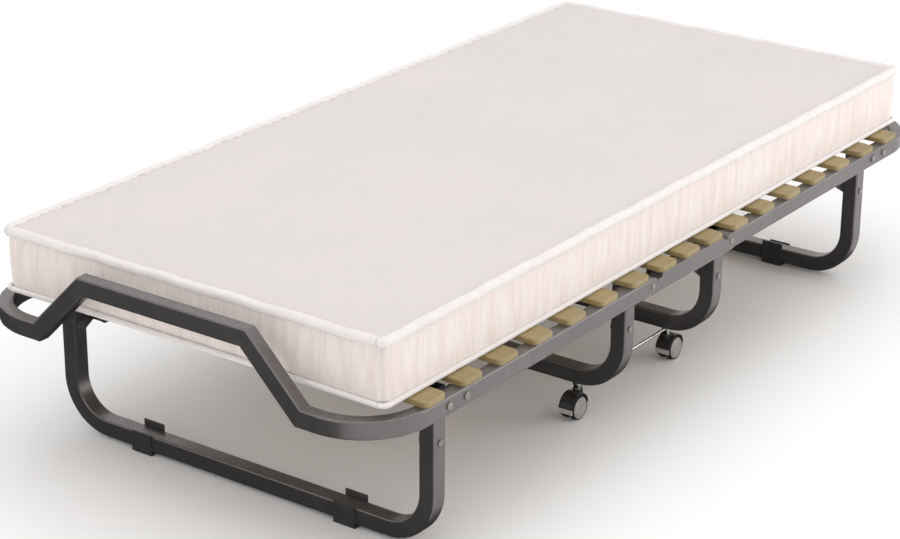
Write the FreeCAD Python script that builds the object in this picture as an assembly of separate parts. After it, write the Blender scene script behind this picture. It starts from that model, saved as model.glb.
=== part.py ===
"""Rollaway guest bed on a folding tube frame.

Units are millimetres.  +X runs along the bed towards the head, +Y across it, +Z up.
The origin lies on the floor under the middle of the bed.  Everything named foot is at
-X, everything named head is the same piece mirrored to +X.
"""
import FreeCAD, Part
import math
import os

# ---- driving dimensions -------------------------------------------------------------
RAIL_OUTER_Y = 485.0          # outer face of the side rails
RAIL_WIDTH = 28.0
RAIL_HEIGHT = 35.0
RAIL_TOP_Z = 325.0
END_X = 1011.0                # outermost face of the raised end loop
WALL = 1.5
TUBE_EDGE = 3.5               # corner radius of the tube section
FRAME_BEND = 140.0            # outer plan radius where a rail turns into the end

LOOP_KINK_Y = 308.0           # where the end tube starts to rise, on its centre line
LOOP_RISE = 118.0             # height of the raised bar above the rails

PIVOT_X = 150.0               # fold hinge of each half
NOTCH_DEPTH = 8.0             # relief in the centre rail for the folding half
NOTCH_LENGTH = 34.0
SOLID_END = 6.0               # solid metal between the relief and the rail's hollow
ROUND_END_SKIN = 0.01
HINGE_PLATE = 4.0
HINGE_PLATE_REACH = 118.0
HINGE_GAP = 0.4
HINGE_BOLT_TIP = 0.5
SIDE_PLATE_STEP = 2.0         # side plates stop this far short of the rail's top and bottom
SPACER_HALF = 8.0
SPACER_CLEARANCE = 8.0        # spacer to the round end of a hinge plate

LEG_TUBE = 34.0
LEG_OUTER_Y = 447.0
LEG_BEND = 105.0              # outer radius of the leg's bottom corners
LEG_TOP_Z = 322.0
END_LEG_X = 790.0
END_LEG_BOTTOM_Z = 7.0
CENTRE_LEG_X = 168.5
CENTRE_LEG_BOTTOM_Z = 76.0

LEG_PIVOT_X = 764.0           # end leg hangs from the rail here
STAY_DROP = 74.5              # stay pins lie this far under the pivots
STAY_SHIFT = 4.0              # and this far towards the middle of the bed
STAY_HEIGHT = 20.0
STAY_THICK = 6.0
STAY_EDGE = 1.5
SLEEVE_LENGTH = 30.0          # spacer sleeve between a stay and its lug
SLEEVE_R = 9.0
SLEEVE_GAP = 0.4
LUG_BOLT_Z = 216.0            # bolts that hold the lugs to the leg tubes
LUG = 4.0
LEG_LUG_HALF = 12.0
PIN_R = 5.0                   # fold hinge, leg pivot and stop bolts
SMALL_PIN_R = 4.0             # lug bolts and stay pins
RUNNING_GAP = 0.05
OPEN_PIVOT_GAP = 0.3          # the linkage is opened here, so its pin has extra room

STOP_BOLT_X = 815.0
STOP_BOLT_REACH = 5.0         # how far a stop bolt shows inside the rail
BOLT_HEAD_R = 7.5
BOLT_HEAD_HEIGHT = 3.5
HINGE_HEAD_HEIGHT = 1.6
LUG_HEAD_R = 6.5
LUG_BOLT_TIP = 1.2            # the bolt ends this far past its lug
STAY_HEAD_R = 7.0
STAY_HEAD_GAP = 0.6
PIN_HEAD_HEIGHT = 3.0
NUT_ACROSS = 13.0
NUT_GAP = 0.6
NUT_REACH = 7.0               # the pivot bolt and its nut reach this far past the lug
SCREW_HEAD_R = 5.0
SCREW_HEAD_HEIGHT = 2.4

SLAT_WIDTH = 60.0
SLAT_THICK = 11.0
SLAT_HALF_LENGTH = 484.0
SLAT_CORNER = 10.0
SLAT_CROWN = 3.4
SLAT_EDGE = 3.0
SLAT_PITCH = 110.0
FIRST_SLAT_X = 190.0
CENTRE_SLAT_PITCH = 88.0
SLATS_PER_HALF = 7
MIDDLE_SCREW_X = 12.0         # the middle slat's screws stand clear of the rail's drain hole
DRAIN_R = 3.0

MATTRESS_LENGTH = 1900.0
MATTRESS_WIDTH = 897.0
MATTRESS_THICK = 127.0
MATTRESS_Z = 340.0
MATTRESS_CORNER = 24.0
MATTRESS_SPLIT_X = 268.0      # the middle part of the foam bends when the bed folds
MATTRESS_GAP = 0.3

CASTER_Y = 331.0
WHEEL_R = 25.0
WHEEL_WIDTH = 13.5
WHEEL_GAP = 9.0
WHEEL_EDGE = 3.0
DISH_RIM = 6.0                # width of the raised rim on a wheel's outer face
DISH_DEPTH = 1.5
AXLE_R = 3.0
CASTER_TRAIL = 14.0
WEB_CLEARANCE = 0.5
WEB_STEP = 4.0                # the web is this much smaller than the wheels
LINK_REACH = 4.0
HOOD_WHEEL_GAP = 1.5
HOOD_WALL = 3.5
HOOD_INSET = 2.0              # the hood is this much narrower than the wheels, each side
HOOD_LOW_Z = 29.0             # the hood covers the wheels above this height
HOOD_TOP_Z = 58.0
BOSS_R = 10.5
STEM_R = 5.5
STEM_BORE_GAP = 0.1
STEM_LOW_Z = 50.5
STEM_IN_LEG = 12.0
COLLAR_R = 8.0
COLLAR_GAP = 0.5
ROD_R = 3.0
ROD_Z = 71.5
ROD_EYE_R = 10.0

PAD_Y = 247.0
PAD_WIDTH = 50.0
PAD_WALL = 3.0
PAD_LIP = 2.0                 # front plate above the tube
PAD_TAB = 12.0                # rear tab above the tube
PAD_LIFT = 1.0                # plates end this far above the floor
PAD_EDGE = 1.2

CUT = 1.0                     # a cutting tool passes the face it cuts by this much
TINY = 1e-6

# ---- derived ------------------------------------------------------------------------
V = FreeCAD.Vector
RAIL_MID_Z = RAIL_TOP_Z - RAIL_HEIGHT / 2
RAIL_BOTTOM_Z = RAIL_TOP_Z - RAIL_HEIGHT
RAIL_INNER_Y = RAIL_OUTER_Y - RAIL_WIDTH
RAIL_MID_Y = RAIL_OUTER_Y - RAIL_WIDTH / 2
PIVOT_CLEAR_R = RAIL_HEIGHT / 2 + 1.0
LEG_INNER_Y = LEG_OUTER_Y - LEG_TUBE
STAY_Z = RAIL_MID_Z - STAY_DROP
CENTRE_PIN_X = PIVOT_X - STAY_SHIFT
LEG_PIN_X = LEG_PIVOT_X - STAY_SHIFT
STAY_OUTER_Y = LEG_INNER_Y - LUG - SLEEVE_LENGTH
STAY_INNER_Y = STAY_OUTER_Y - STAY_THICK
MIRROR_X = V(1, 0, 0)
MIRROR_Y = V(0, 1, 0)
ORIGIN = V(0, 0, 0)


# ---- helpers ------------------------------------------------------------------------
def box(low, high):
    """A block between two opposite corners."""
    return Part.makeBox(high[0] - low[0], high[1] - low[1], high[2] - low[2], V(*low))


def rod_y(x, z, y0, y1, radius):
    """A round bar along Y."""
    return Part.makeCylinder(radius, abs(y1 - y0), V(x, min(y0, y1), z), V(0, 1, 0))


def rod_z(x, y, z0, z1, radius):
    """A round bar along Z."""
    return Part.makeCylinder(radius, z1 - z0, V(x, y, z0), V(0, 0, 1))


def mirrored(shape, normal):
    """The shape reflected in the plane through the origin with that normal."""
    return shape.mirror(ORIGIN, normal)


def both_sides(shape):
    """The shape and its mirror image across the bed."""
    return [shape, mirrored(shape, MIRROR_Y)]


def rounded_rectangle(width, height, radius, centre, u, v):
    """Closed wire of a rectangle with round corners in the plane of u and v."""
    def at(a, b):
        return centre + u * a + v * b
    w, h, r = width / 2, height / 2, radius
    k = r * (1 - math.sqrt(0.5))
    corners = [
        ((w, h - r), (w - k, h - k), (w - r, h)),
        ((-w + r, h), (-w + k, h - k), (-w, h - r)),
        ((-w, -h + r), (-w + k, -h + k), (-w + r, -h)),
        ((w - r, -h), (w - k, -h + k), (w, -h + r)),
    ]
    edges = []
    for i, (a, b, c) in enumerate(corners):
        edges.append(Part.Arc(at(*a), at(*b), at(*c)).toShape())
        following = corners[(i + 1) % 4][0]
        edges.append(Part.LineSegment(at(*c), at(*following)).toShape())
    return Part.Wire(edges)


def swept(profile, path, binormal):
    """Profile carried along a flat path, with mitred corners where the path kinks."""
    pipe = Part.BRepOffsetAPI.MakePipeShell(path)
    pipe.setTransitionMode(1)
    pipe.setBiNormalMode(binormal)
    pipe.add(profile, False, False)
    pipe.build()
    pipe.makeSolid()
    return pipe.shape()


def tube(path, start, u, v, width, height, binormal, wall):
    """Rectangular tube along a flat path; u and v span its section at the start."""
    outer = rounded_rectangle(width, height, TUBE_EDGE, start, u, v)
    inner = rounded_rectangle(width - 2 * wall, height - 2 * wall, TUBE_EDGE - wall, start, u, v)
    return swept(outer, path, binormal), swept(inner, path, binormal)


def line(a, b):
    """A straight edge."""
    return Part.LineSegment(a, b).toShape()


def arc(centre, radius, u, v, from_deg, to_deg):
    """Arc about centre in the plane of u and v."""
    def at(deg):
        t = math.radians(deg)
        return centre + u * (radius * math.cos(t)) + v * (radius * math.sin(t))
    return Part.Arc(at(from_deg), at((from_deg + to_deg) / 2), at(to_deg)).toShape()


def slot_plate(x0, x1, z, half_height, y0, y1):
    """Plate in the XZ plane with two round ends, centred on x0 and x1."""
    low, high = min(x0, x1), max(x0, x1)
    body = box((low, y0, z - half_height), (high, y1, z + half_height))
    ends = [rod_y(x, z, y0, y1, half_height) for x in (low, high)]
    return body.fuse(ends).removeSplitter()


def link_plate(a, b, radius, y0, y1):
    """Plate in the XZ plane with round ends about the points a and b."""
    length = math.dist(a, b)
    nx, nz = radius * (a[1] - b[1]) / length, radius * (b[0] - a[0]) / length
    outline = [(a[0] + nx, a[1] + nz), (b[0] + nx, b[1] + nz), (b[0] - nx, b[1] - nz), (a[0] - nx, a[1] - nz)]
    corners = [V(x, y0, z) for x, z in outline + outline[:1]]
    body = Part.Face(Part.makePolygon(corners)).extrude(V(0, y1 - y0, 0))
    ends = [rod_y(x, z, y0, y1, radius) for x, z in (a, b)]
    return body.fuse(ends).removeSplitter()


def domed_head(x, z, y, radius, height, side):
    """Bolt head on a face at y, standing out towards side, with a rolled-over rim."""
    y_out = y + side * height
    head = rod_y(x, z, y, y_out, radius)
    rim = [e for e in head.Edges if e.BoundBox.YLength < TINY and abs(e.BoundBox.YMin - y_out) < TINY]
    return head.makeFillet(height * 0.6, rim[:1])


def hexagon_nut(x, z, y0, y1, across):
    """Six-sided solid along Y, without its bore."""
    r = across / math.sqrt(3)
    turns = [math.radians(60 * i) for i in range(7)]
    points = [V(x + r * math.cos(t), y0, z + r * math.sin(t)) for t in turns]
    return Part.Face(Part.makePolygon(points)).extrude(V(0, y1 - y0, 0))


# ---- pieces of the folding halves (foot side, at -X) ----------------------------------
def half_frame():
    """One bent tube: left rail, end with its raised loop, right rail."""
    centre_r = FRAME_BEND - RAIL_WIDTH / 2
    bend_x = -END_X + FRAME_BEND
    bend_y = RAIL_OUTER_Y - FRAME_BEND
    z = RAIL_MID_Z
    rail_end = V(-PIVOT_X, -RAIL_MID_Y, z)
    end_x = -END_X + RAIL_WIDTH / 2
    side_path = Part.Wire([
        line(rail_end, V(bend_x, -RAIL_MID_Y, z)),
        arc(V(bend_x, -bend_y, z), centre_r, V(1, 0, 0), V(0, 1, 0), 270, 180),
        line(V(end_x, -bend_y, z), V(end_x, -LOOP_KINK_Y - RAIL_HEIGHT / 2, z)),
    ])
    side = tube(side_path, rail_end, V(0, 1, 0), V(0, 0, 1), RAIL_WIDTH, RAIL_HEIGHT, V(0, 0, 1), WALL)
    loop_start = V(end_x, -LOOP_KINK_Y - RAIL_HEIGHT / 2, z)
    top_y = LOOP_KINK_Y - LOOP_RISE
    loop_points = [
        loop_start,
        V(end_x, -LOOP_KINK_Y, z),
        V(end_x, -top_y, z + LOOP_RISE),
        V(end_x, top_y, z + LOOP_RISE),
        V(end_x, LOOP_KINK_Y, z),
        V(end_x, LOOP_KINK_Y + RAIL_HEIGHT / 2, z),
    ]
    loop_path = Part.makePolygon(loop_points)
    loop = tube(loop_path, loop_start, V(1, 0, 0), V(0, 0, 1), RAIL_WIDTH, RAIL_HEIGHT, V(1, 0, 0), WALL)
    outer, inner = [
        loop[i].fuse([side[i], mirrored(side[i], MIRROR_Y)]).removeSplitter() for i in (0, 1)
    ]
    frame = outer.cut(inner)
    reach = RAIL_OUTER_Y + CUT
    frame = frame.cut(rod_y(-PIVOT_X, z, -reach, reach, PIVOT_CLEAR_R))
    for x in (-LEG_PIVOT_X, -STOP_BOLT_X):
        frame = frame.cut(rod_y(x, z, -reach, reach, PIN_R + RUNNING_GAP))
    return frame



def hinge_plates():
    """Plates inside the rails that carry the fold hinge past the end of each rail."""
    half_height = RAIL_HEIGHT / 2 - WALL
    y0 = RAIL_INNER_Y - HINGE_PLATE
    plate = slot_plate(-PIVOT_X, -PIVOT_X - HINGE_PLATE_REACH, RAIL_MID_Z, half_height, y0, RAIL_INNER_Y)
    plate = plate.cut(rod_y(-PIVOT_X, RAIL_MID_Z, y0 - CUT, RAIL_INNER_Y + CUT, PIN_R + RUNNING_GAP))
    return both_sides(plate)


def half_fasteners():
    """Leg pivot bolts with their nuts, stop bolts, and the screws that hold the slats."""
    pieces = []
    z = RAIL_MID_Z
    lug_inner = LEG_OUTER_Y - NUT_REACH
    pivot = rod_y(-LEG_PIVOT_X, z, lug_inner, RAIL_OUTER_Y, PIN_R)
    pivot = pivot.fuse(rail_bolt_head(-LEG_PIVOT_X)).removeSplitter()
    nut = hexagon_nut(-LEG_PIVOT_X, z, lug_inner, LEG_OUTER_Y - NUT_GAP, NUT_ACROSS)
    nut = nut.cut(rod_y(-LEG_PIVOT_X, z, lug_inner - CUT, LEG_OUTER_Y + CUT, PIN_R))
    stop = rod_y(-STOP_BOLT_X, z, RAIL_INNER_Y - STOP_BOLT_REACH, RAIL_OUTER_Y, PIN_R)
    stop = stop.fuse(rail_bolt_head(-STOP_BOLT_X)).removeSplitter()
    for piece in (pivot, nut, stop):
        pieces += both_sides(piece)
    for x in half_slat_positions():
        pieces += slat_screws(x)
    return pieces


def rail_bolt_head(x):
    """Domed head on the outer face of the rail."""
    return domed_head(x, RAIL_MID_Z, RAIL_OUTER_Y, BOLT_HEAD_R, BOLT_HEAD_HEIGHT, 1)


def half_slat_positions():
    """Centre lines of the slats of the foot half, from the fold outwards."""
    return [-(FIRST_SLAT_X + SLAT_PITCH * i) for i in range(SLATS_PER_HALF)]


def slat_screws(x):
    """Button heads under both rails where a screw goes up into the slat."""
    low_z = RAIL_BOTTOM_Z - SCREW_HEAD_HEIGHT
    head = rod_z(x, RAIL_MID_Y, low_z, RAIL_BOTTOM_Z, SCREW_HEAD_R)
    rim = [e for e in head.Edges if abs(e.BoundBox.ZMax - low_z) < TINY]
    return both_sides(head.makeFillet(SCREW_HEAD_HEIGHT * 0.6, rim[:1]))


def slat(x):
    """Beech slat: round-cornered in plan and bowed up a little along its length."""
    half = SLAT_HALF_LENGTH
    z0 = RAIL_TOP_Z
    rises = ((-half, 0.0), (0.0, SLAT_CROWN), (half, 0.0))
    low = [V(x, y, z0 + rise) for y, rise in rises]
    high = [V(x, y, z0 + SLAT_THICK + rise) for y, rise in rises]
    side = Part.Wire([
        Part.Arc(*low).toShape(),
        line(low[2], high[2]),
        Part.Arc(*reversed(high)).toShape(),
        line(high[0], low[0]),
    ])
    plank = Part.Face(side).extrude(V(SLAT_WIDTH, 0, 0))
    plank.translate(V(-SLAT_WIDTH / 2, 0, 0))
    upright = [e for e in plank.Edges if e.BoundBox.XLength < TINY and e.BoundBox.YLength < TINY]
    plank = plank.makeFillet(SLAT_CORNER, upright)
    upper = [e for e in plank.Edges if e.BoundBox.ZMin > z0 + 0.8 * SLAT_THICK]
    return plank.makeFillet(SLAT_EDGE, upper)


def mattress_part(x0, x1, rounded_end):
    """Foam block; only a part at an end of the bed has rounded corners."""
    half_width = MATTRESS_WIDTH / 2
    block = box((x0, -half_width, MATTRESS_Z), (x1, half_width, MATTRESS_Z + MATTRESS_THICK))
    if not rounded_end:
        return block
    end_x = x0 if abs(x0) > abs(x1) else x1
    upright = [e for e in block.Edges if e.BoundBox.XLength < TINY and e.BoundBox.YLength < TINY
               and abs(e.BoundBox.XMin - end_x) < TINY]
    return block.makeFillet(MATTRESS_CORNER, upright)


# ---- legs -----------------------------------------------------------------------------
def leg_tube(x, bottom_z):
    """U-shaped leg across the bed, with round bottom corners and open tops."""
    r = LEG_BEND - LEG_TUBE / 2
    y = LEG_OUTER_Y - LEG_TUBE / 2
    z = bottom_z + LEG_TUBE / 2
    yc = y - r
    zc = z + r
    top = V(x, -y, LEG_TOP_Z)
    path = Part.Wire([
        line(top, V(x, -y, zc)),
        arc(V(x, -yc, zc), r, V(0, 1, 0), V(0, 0, 1), 180, 270),
        line(V(x, -yc, z), V(x, yc, z)),
        arc(V(x, yc, zc), r, V(0, 1, 0), V(0, 0, 1), 270, 360),
        line(V(x, y, zc), V(x, y, LEG_TOP_Z)),
    ])
    outer, inner = tube(path, top, V(1, 0, 0), V(0, 1, 0), LEG_TUBE, LEG_TUBE, V(1, 0, 0), WALL)
    return outer.cut(inner)


def lug_bolt_holes(x):
    """Cutting tool for the lug bolts, right across a leg."""
    return rod_y(x, LUG_BOLT_Z, -RAIL_OUTER_Y, RAIL_OUTER_Y, SMALL_PIN_R)


def end_leg():
    """Leg under the outer part of a half, bored for its lug bolts."""
    return leg_tube(-END_LEG_X, END_LEG_BOTTOM_Z).cut(lug_bolt_holes(-END_LEG_X))


def stay_lug(pin_x, tube_x):
    """Plate on the inside of a leg tube that holds the pin of a stay."""
    y0, y1 = LEG_INNER_Y - LUG, LEG_INNER_Y
    holes = ((pin_x, STAY_Z), (tube_x, LUG_BOLT_Z))
    plate = link_plate(*holes, STAY_HEIGHT / 2 + 1, y0, y1)
    for x, z in holes:
        plate = plate.cut(rod_y(x, z, y0 - CUT, y1 + CUT, SMALL_PIN_R))
    return plate


def stay_sleeve(pin_x):
    """Spacer on a stay's pin, from the lug to the stay."""
    y0, y1 = STAY_OUTER_Y + SLEEVE_GAP, LEG_INNER_Y - LUG
    sleeve = rod_y(pin_x, STAY_Z, y0, y1, SLEEVE_R)
    return sleeve.cut(rod_y(pin_x, STAY_Z, y0 - CUT, y1 + CUT, SMALL_PIN_R))


def end_leg_lugs():
    """Outer plates that hang the leg from the rail, and inner plates for the stays."""
    y0, y1 = LEG_OUTER_Y, LEG_OUTER_Y + LUG
    hanger = slot_plate(-LEG_PIVOT_X, -END_LEG_X, RAIL_MID_Z, LEG_LUG_HALF, y0, y1)
    hanger = hanger.cut(rod_y(-LEG_PIVOT_X, RAIL_MID_Z, y0 - CUT, y1 + CUT, PIN_R + RUNNING_GAP))
    return both_sides(hanger) + both_sides(stay_lug(-LEG_PIN_X, -END_LEG_X))


def lug_bolt(x):
    """Bolt through the leg tube, with its head on the outer face."""
    z = LUG_BOLT_Z
    shank = rod_y(x, z, LEG_INNER_Y - LUG - LUG_BOLT_TIP, LEG_OUTER_Y, SMALL_PIN_R)
    return shank.fuse(domed_head(x, z, LEG_OUTER_Y, LUG_HEAD_R, PIN_HEAD_HEIGHT, 1)).removeSplitter()


def stay_pin(x):
    """Pin from the lug through the end of the stay, with a head inside."""
    head_y = STAY_INNER_Y - STAY_HEAD_GAP
    pin = rod_y(x, STAY_Z, head_y, LEG_INNER_Y, SMALL_PIN_R)
    return pin.fuse(domed_head(x, STAY_Z, head_y, STAY_HEAD_R, PIN_HEAD_HEIGHT, -1)).removeSplitter()


def stay():
    """Flat bar from the carriage to the end leg, on the -Y side."""
    y0, y1 = STAY_INNER_Y, STAY_OUTER_Y
    bar = slot_plate(-CENTRE_PIN_X, -LEG_PIN_X, STAY_Z, STAY_HEIGHT / 2, y0, y1)
    edges = [e for e in bar.Edges if e.BoundBox.YLength < TINY]
    bar = bar.makeFillet(STAY_EDGE, edges)
    bar = bar.cut(rod_y(-CENTRE_PIN_X, STAY_Z, y0 - CUT, y1 + CUT, SMALL_PIN_R + RUNNING_GAP))
    bar = bar.cut(rod_y(-LEG_PIN_X, STAY_Z, y0 - CUT, y1 + CUT, SMALL_PIN_R + OPEN_PIVOT_GAP))
    return mirrored(bar, MIRROR_Y)



def foot_pads():
    """Plastic clips on the bottom tube: sole, front plate and a raised rear tab."""
    half = LEG_TUBE / 2
    x0, x1 = -END_LEG_X - half, -END_LEG_X + half
    y0, y1 = PAD_Y - PAD_WIDTH / 2, PAD_Y + PAD_WIDTH / 2
    tube_top = END_LEG_BOTTOM_Z + LEG_TUBE
    sole = box((x0 - PAD_WALL, y0, 0), (x1 + PAD_WALL, y1, END_LEG_BOTTOM_Z))
    front = box((x0 - PAD_WALL, y0, PAD_LIFT), (x0, y1, tube_top + PAD_LIP))
    rear = box((x1, y0, PAD_LIFT), (x1 + PAD_WALL, y1, tube_top + PAD_TAB))
    pad = sole.fuse([front, rear]).removeSplitter()
    top_edges = [e for e in pad.Edges if e.BoundBox.ZMin > tube_top and e.BoundBox.YLength > PAD_WIDTH / 2]
    return both_sides(pad.makeFillet(PAD_EDGE, top_edges))


# ---- centre carriage --------------------------------------------------------------------
def fold_relief(side, y0, y1):
    """Room over the inner side of a fold hinge, where the first slat of a half swings in."""
    x_low, x_high = sorted((side * PIVOT_X, side * (PIVOT_X - NOTCH_LENGTH)))
    return box((x_low, y0, RAIL_TOP_Z - NOTCH_DEPTH), (x_high, y1, RAIL_TOP_Z + CUT))


def centre_rail():
    """Short rail between the fold hinges, round at both ends and relieved on top."""
    y0, y1 = RAIL_INNER_Y + HINGE_GAP, RAIL_OUTER_Y
    rail = slot_plate(-PIVOT_X, PIVOT_X, RAIL_MID_Z, RAIL_HEIGHT / 2, y0, y1)
    for side in (-1, 1):
        x = side * PIVOT_X
        x_low, x_high = sorted((x, side * (PIVOT_X - PIVOT_CLEAR_R)))
        corner = box((x_low, y0 - CUT, RAIL_MID_Z), (x_high, y1 + CUT, RAIL_TOP_Z + CUT))
        corner = corner.fuse(fold_relief(side, y0 - CUT, y1 + CUT))
        round_end = rod_y(x, RAIL_MID_Z, y0 - 2 * CUT, y1 + 2 * CUT, RAIL_HEIGHT / 2 - ROUND_END_SKIN)
        rail = rail.cut(corner.cut(round_end))
        rail = rail.cut(rod_y(x, RAIL_MID_Z, y0 - CUT, y1 + CUT, PIN_R))
    hollow_x = PIVOT_X - NOTCH_LENGTH - SOLID_END
    low = (-hollow_x, y0 + WALL, RAIL_BOTTOM_Z + WALL)
    hollow = box(low, (hollow_x, y1 - WALL, RAIL_TOP_Z - WALL))
    drain = rod_z(0, RAIL_MID_Y, RAIL_BOTTOM_Z - CUT, RAIL_BOTTOM_Z + 2 * WALL, DRAIN_R)
    return rail.cut(hollow).cut(drain)


def side_plates():
    """Plates that tie both centre legs to the centre rails, with a spacer to the rail."""
    half_height = RAIL_HEIGHT / 2 - SIDE_PLATE_STEP
    reach = CENTRE_LEG_X + LEG_TUBE / 2
    y0, y1 = LEG_OUTER_Y, LEG_OUTER_Y + LUG
    plate = box((-reach, y0, RAIL_MID_Z - half_height), (reach, y1, RAIL_MID_Z + half_height))
    for side in (-1, 1):
        plate = plate.cut(fold_relief(side, y0 - CUT, y1 + CUT))
    spacer_x = PIVOT_X - RAIL_HEIGHT / 2 - SPACER_CLEARANCE
    low = (-spacer_x, y1, RAIL_MID_Z - SPACER_HALF)
    spacer = box(low, (spacer_x, RAIL_INNER_Y + HINGE_GAP, RAIL_MID_Z + SPACER_HALF))
    return both_sides(plate.fuse(spacer).removeSplitter())


def centre_fasteners():
    """Fold hinge bolts, lug bolts and the screws of the three centre slats."""
    pieces = []
    for side in (-1, 1):
        x = side * PIVOT_X
        tip_y = RAIL_INNER_Y - HINGE_PLATE - HINGE_BOLT_TIP
        bolt = rod_y(x, RAIL_MID_Z, tip_y, RAIL_OUTER_Y, PIN_R)
        head = domed_head(x, RAIL_MID_Z, RAIL_OUTER_Y, LUG_HEAD_R, HINGE_HEAD_HEIGHT, 1)
        pieces += both_sides(bolt.fuse(head).removeSplitter())
        pieces += both_sides(lug_bolt(side * CENTRE_LEG_X))
    for i in (-1, 0, 1):
        x = i * CENTRE_SLAT_PITCH
        pieces += slat_screws(x if i else MIDDLE_SCREW_X)
    return pieces


def centre_leg():
    """Leg of the carriage, with holes for the lug bolts and the caster stems."""
    leg = leg_tube(-CENTRE_LEG_X, CENTRE_LEG_BOTTOM_Z).cut(lug_bolt_holes(-CENTRE_LEG_X))
    for y in (-CASTER_Y, CASTER_Y):
        mid_z = CENTRE_LEG_BOTTOM_Z + LEG_TUBE / 2
        leg = leg.cut(rod_z(-CENTRE_LEG_X, y, CENTRE_LEG_BOTTOM_Z - CUT, mid_z, STEM_R))
    return leg


def carriage_lugs():
    """Plates on both centre legs that hold the inner pins of the stays."""
    lug = stay_lug(-CENTRE_PIN_X, -CENTRE_LEG_X)
    return both_sides(lug) + both_sides(mirrored(lug, MIRROR_X))


def carriage_stay_pins():
    """The four pins at the carriage ends of the stays."""
    pin = stay_pin(-CENTRE_PIN_X)
    return both_sides(pin) + both_sides(mirrored(pin, MIRROR_X))


def carriage_sleeves():
    """The four spacer sleeves at the carriage ends of the stays."""
    sleeve = stay_sleeve(-CENTRE_PIN_X)
    return both_sides(sleeve) + both_sides(mirrored(sleeve, MIRROR_X))


def tie_rods():
    """Thin rods under the carriage that keep its two legs apart, with eyes at both ends."""
    half = CENTRE_LEG_X - COLLAR_R
    rod = Part.makeCylinder(ROD_R, 2 * half, V(-half, CASTER_Y, ROD_Z), V(1, 0, 0))
    z0, z1 = ROD_Z - ROD_R, ROD_Z + ROD_R
    for side in (-1, 1):
        rod = rod.fuse(rod_z(side * CENTRE_LEG_X, CASTER_Y, z0, z1, ROD_EYE_R))
    rod = rod.removeSplitter()
    for side in (-1, 1):
        rod = rod.cut(rod_z(side * CENTRE_LEG_X, CASTER_Y, z0 - CUT, z1 + CUT, STEM_R + STEM_BORE_GAP))
    return both_sides(rod)


# ---- casters --------------------------------------------------------------------------
def caster_positions():
    """Name, stem x, stem y and trail direction of each caster."""
    for end, x, trail in (("foot", -CENTRE_LEG_X, -1), ("head", CENTRE_LEG_X, 1)):
        for side, y in (("left", CASTER_Y), ("right", -CASTER_Y)):
            yield end + "_" + side, x, y, trail



def caster_stem(x, y):
    """Chromed stem pressed into the leg, with a collar over the hood."""
    stem = rod_z(x, y, STEM_LOW_Z, CENTRE_LEG_BOTTOM_Z + STEM_IN_LEG, STEM_R)
    collar = rod_z(x, y, HOOD_TOP_Z + COLLAR_GAP, ROD_Z - ROD_R - COLLAR_GAP, COLLAR_R)
    return stem.fuse(collar).removeSplitter()


def caster_hood(x, y, trail):
    """Web between the wheels with a quarter-round hood over them and a stem boss."""
    axle_x = x + trail * CASTER_TRAIL
    z = WHEEL_R
    web_half = WHEEL_GAP / 2 - WEB_CLEARANCE
    hood_half = WHEEL_GAP / 2 + WHEEL_WIDTH - HOOD_INSET
    web = rod_y(axle_x, z, y - web_half, y + web_half, WHEEL_R - WEB_STEP)
    boss = rod_z(x, y, z, HOOD_TOP_Z, BOSS_R)
    inner_r = WHEEL_R + HOOD_WHEEL_GAP
    outer_r = inner_r + HOOD_WALL
    shell = rod_y(axle_x, z, y - hood_half, y + hood_half, outer_r)
    shell = shell.cut(rod_y(axle_x, z, y - hood_half - CUT, y + hood_half + CUT, inner_r))
    low = (axle_x - outer_r - CUT, y - hood_half - CUT, z - outer_r - CUT)
    shell = shell.cut(box(low, (axle_x + outer_r + CUT, y + hood_half + CUT, HOOD_LOW_Z)))
    x_low, x_high = sorted((x, axle_x))
    link_low = (x_low - LINK_REACH, y - web_half, z)
    link = box(link_low, (x_high + LINK_REACH, y + web_half, z + inner_r))
    hood = web.fuse([boss, shell, link]).removeSplitter()
    for side in (-1, 1):
        y0 = y + side * web_half
        hood = hood.cut(rod_y(axle_x, z, y0, y + side * (hood_half + CUT), WHEEL_R + CUT))
    hood = hood.cut(rod_z(x, y, STEM_LOW_Z - COLLAR_GAP, HOOD_TOP_Z + CUT, STEM_R + STEM_BORE_GAP))
    return hood.cut(rod_y(axle_x, z, y - hood_half, y + hood_half, AXLE_R + RUNNING_GAP))


def caster_wheels(x, y, trail):
    """Two wheels with dished outer faces, on one axle."""
    axle_x = x + trail * CASTER_TRAIL
    pieces = []
    for side in (-1, 1):
        y_in = y + side * WHEEL_GAP / 2
        y_out = y_in + side * WHEEL_WIDTH
        wheel = rod_y(axle_x, WHEEL_R, y_in, y_out, WHEEL_R)
        rims = [e for e in wheel.Edges if e.BoundBox.YLength < TINY and e.BoundBox.XLength > WHEEL_R]
        wheel = wheel.makeFillet(WHEEL_EDGE, rims)
        dish = rod_y(axle_x, WHEEL_R, y_out - side * DISH_DEPTH, y_out + side * CUT, WHEEL_R - DISH_RIM)
        bore = rod_y(axle_x, WHEEL_R, y_in - side * CUT, y_out + side * CUT, AXLE_R)
        pieces.append(wheel.cut(dish).cut(bore))
    axle_half = WHEEL_GAP / 2 + WHEEL_WIDTH - DISH_DEPTH
    pieces.append(rod_y(axle_x, WHEEL_R, y - axle_half, y + axle_half, AXLE_R))
    return pieces


# ---- assembly ---------------------------------------------------------------------------
def save(node, solids):
    """Writes one node's solids to its own file and says if one is broken."""
    shape = solids[0] if len(solids) == 1 else Part.makeCompound(solids)
    for solid in shape.Solids:
        if not solid.isValid():
            print("invalid solid in", node)
    if len(shape.Solids) != len(solids):
        print(node, "has", len(shape.Solids), "solids instead of", len(solids))
    shape.exportStep("parts/" + node + ".step")


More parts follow.
